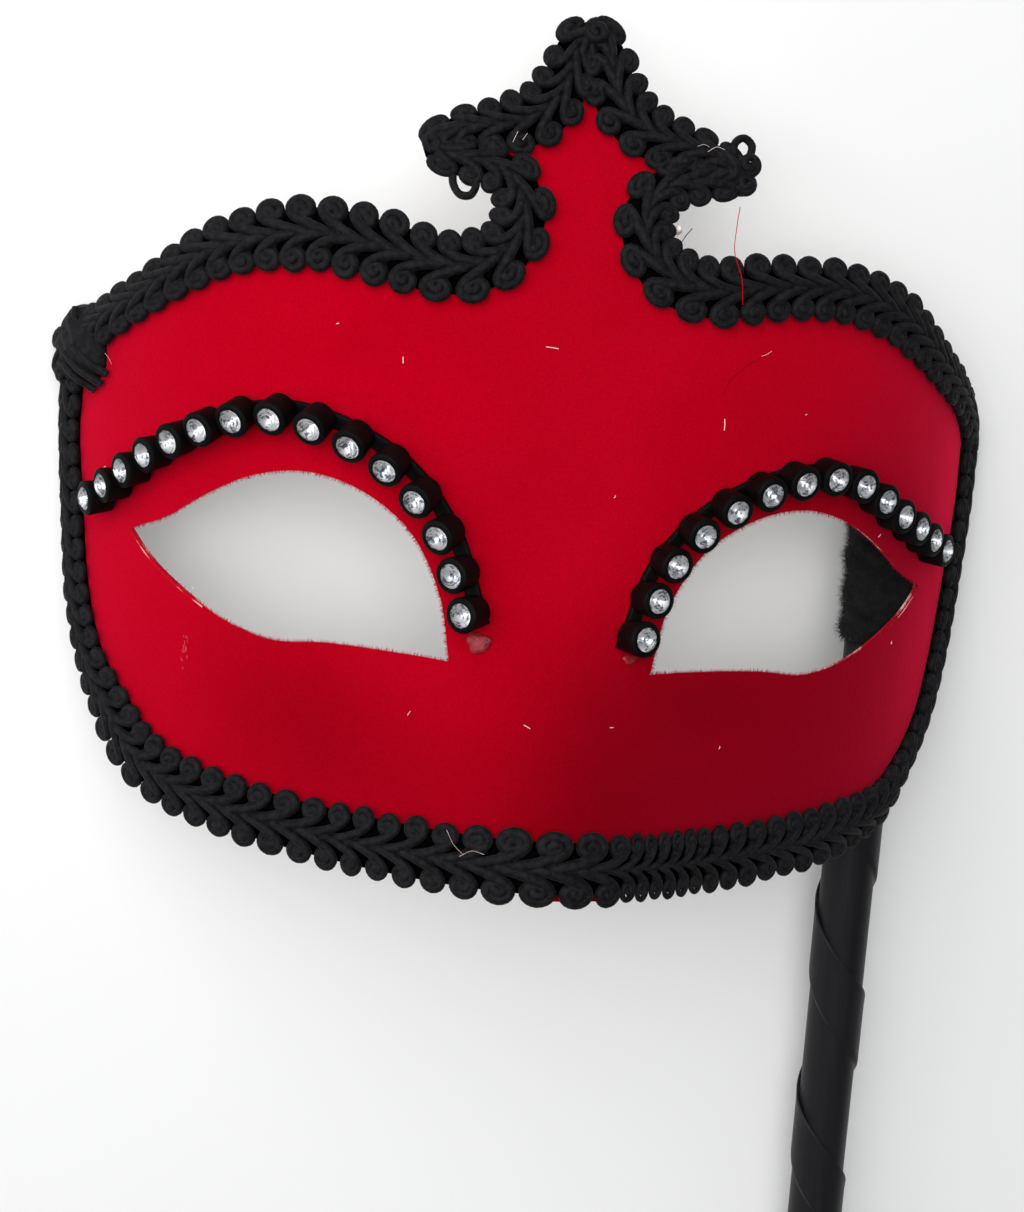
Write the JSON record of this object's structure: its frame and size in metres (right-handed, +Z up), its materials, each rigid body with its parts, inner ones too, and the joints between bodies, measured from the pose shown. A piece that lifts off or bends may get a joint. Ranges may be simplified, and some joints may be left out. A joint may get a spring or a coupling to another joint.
{
  "type": "masquerade stick mask",
  "caption": "Flocked half mask with a pointed crown, scroll braid edging, a row of cupped stones over each eye and a ribbon-wound stick to hold it by.",
  "frame": {"origin": "middle of the bounding box, on the surface that the mask lies on", "axes": "+Z up through the front of the mask, +Y towards the crown along the stick, +X to the right of someone looking at the mask"},
  "size_m": [0.1654, 0.3708, 0.0617],
  "materials": {
    "red_flock": "short red flock on thin moulded plastic",
    "black_braid": "thread-covered scroll braid, dull black",
    "cup_black": "glossy black moulded cups",
    "crystal": "clear cut stone with a silvered back",
    "black_ribbon": "dull satin ribbon",
    "black_felt": "fuzzy black felt",
    "wood": "plain dowel"
  },
  "bodies": {
    "root": {"mask_shell": "red_flock", "braid_top": "black_braid", "braid_lower": "black_braid", "brow_chain_left": "cup_black", "brow_chain_right": "cup_black", "stone_left_01": "crystal", "stone_left_02": "crystal", "stone_left_03": "crystal", "stone_left_04": "crystal", "stone_left_05": "crystal", "stone_left_06": "crystal", "stone_left_07": "crystal", "stone_left_08": "crystal", "stone_left_09": "crystal", "stone_left_10": "crystal", "stone_left_11": "crystal", "stone_left_12": "crystal", "stone_left_13": "crystal", "stone_left_14": "crystal", "stone_left_15": "crystal", "stone_right_01": "crystal", "stone_right_02": "crystal", "stone_right_03": "crystal", "stone_right_04": "crystal", "stone_right_05": "crystal", "stone_right_06": "crystal", "stone_right_07": "crystal", "stone_right_08": "crystal", "stone_right_09": "crystal", "stone_right_10": "crystal", "stone_right_11": "crystal", "stone_right_12": "crystal", "stone_right_13": "crystal", "stone_right_14": "crystal", "stick": "wood", "stick_ribbon": "black_ribbon", "felt_sleeve": "black_felt"}
  },
  "joints": []
}
